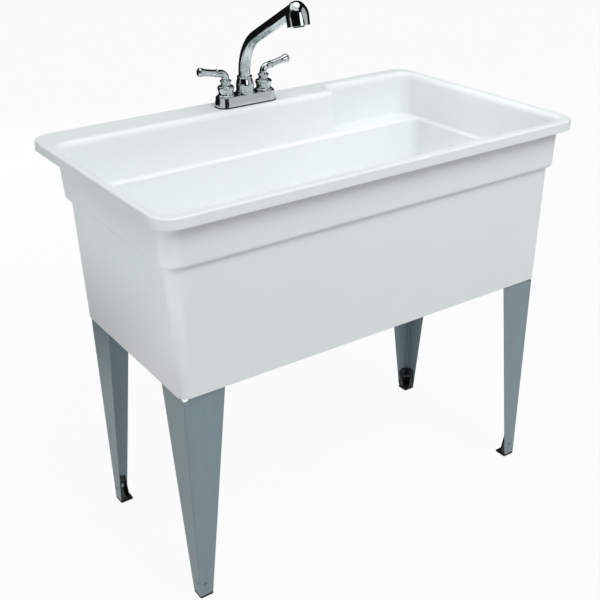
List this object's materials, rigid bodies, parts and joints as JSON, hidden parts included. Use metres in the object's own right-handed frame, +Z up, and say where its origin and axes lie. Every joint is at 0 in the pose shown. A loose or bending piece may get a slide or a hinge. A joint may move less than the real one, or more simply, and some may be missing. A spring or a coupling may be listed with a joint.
{
  "type": "utility laundry sink",
  "caption": "Free-standing laundry sink: deep moulded tub with a stepped rim and deck on splayed sheet-steel legs, centreset lever tap with swing spout and pull-out spray",
  "frame": {"origin": "on the floor under the centre of the rim", "axes": "+X to the right along the rim, +Y towards the wall behind, +Z up; the user stands at -Y"},
  "size_m": [1.016, 0.61, 1.1457],
  "materials": {
    "tub": "smooth satin moulded white",
    "leg": "blue-grey painted sheet steel",
    "foot": "black moulded",
    "fixing": "zinc plated",
    "rubber": "black",
    "chrome": "polished",
    "brass": "raw casting",
    "steel": "stainless",
    "black_plastic": "dark moulded",
    "white_plastic": "white moulded"
  },
  "bodies": {
    "stand": {"tub": "tub", "leg_front_left": "leg", "leg_front_right": "leg", "leg_back_left": "leg", "leg_back_right": "leg", "foot_screws": "fixing", "foot_nuts": "fixing", "tap_gasket": "rubber", "tap_cover": "chrome", "tap_waterway": "brass", "mounting_washers": "white_plastic", "mounting_nuts": "white_plastic", "hot_bell": "chrome", "cold_bell": "chrome", "hot_cartridge": "brass", "cold_cartridge": "brass", "spout_hub": "chrome", "spout_o_rings": "rubber", "waste_body": "steel", "waste_gasket": "rubber", "waste_washer": "white_plastic", "waste_locknut": "white_plastic", "waste_tailpiece": "white_plastic", "tailpiece_nut": "white_plastic"},
    "foot_front_left": {"foot_front_left": "foot"},
    "foot_front_right": {"foot_front_right": "foot"},
    "foot_back_left": {"foot_back_left": "foot"},
    "foot_back_right": {"foot_back_right": "foot"},
    "hot_lever": {"hot_handle": "chrome", "hot_stem": "brass", "hot_handle_screw": "steel"},
    "cold_lever": {"cold_handle": "chrome", "cold_stem": "brass", "cold_handle_screw": "steel"},
    "swivel_spout": {"spout": "chrome", "spout_collar": "chrome", "hose_guide": "white_plastic"},
    "spray": {"spray_head": "chrome", "spray_nozzle": "black_plastic", "button_spring": "steel", "spray_hose": "rubber"},
    "button": {"spray_button": "chrome"},
    "stopper": {"waste_stopper": "rubber"}
  },
  "joints": [
    {"name": "foot_front_left_level", "type": "slide", "parent": "stand", "child": "foot_front_left", "axis": [0, 0, -1], "range_m": [0, 0.015]},
    {"name": "foot_front_right_level", "type": "slide", "parent": "stand", "child": "foot_front_right", "axis": [0, 0, -1], "range_m": [0, 0.015]},
    {"name": "foot_back_left_level", "type": "slide", "parent": "stand", "child": "foot_back_left", "axis": [0, 0, -1], "range_m": [0, 0.015]},
    {"name": "foot_back_right_level", "type": "slide", "parent": "stand", "child": "foot_back_right", "axis": [0, 0, -1], "range_m": [0, 0.015]},
    {"name": "hot_turn", "type": "hinge", "parent": "stand", "child": "hot_lever", "pos_m": [-0.0508, 0.253, 0.946], "axis": [0, 0, 1], "range_deg": [0, 90]},
    {"name": "cold_turn", "type": "hinge", "parent": "stand", "child": "cold_lever", "pos_m": [0.0508, 0.253, 0.946], "axis": [0, 0, 1], "range_deg": [-90, 0]},
    {"name": "spout_swing", "type": "hinge", "parent": "stand", "child": "swivel_spout", "pos_m": [0, 0.253, 0.926], "axis": [0, 0, 1], "range_deg": [-90, 90]},
    {"name": "spray_pull", "type": "slide", "parent": "swivel_spout", "child": "spray", "axis": [0, -0.8894, 0.4571], "range_m": [0, 0.08]},
    {"name": "button_press", "type": "slide", "parent": "spray", "child": "button", "axis": [0, 0.9744, -0.225], "range_m": [0, 0.0012], "stiffness_N_per_m": 400, "springref_m": -0.002, "deforming": ["button_spring"]},
    {"name": "stopper_lift", "type": "slide", "parent": "stand", "child": "stopper", "axis": [0, 0, 1], "range_m": [0, 0.05]}
  ]
}
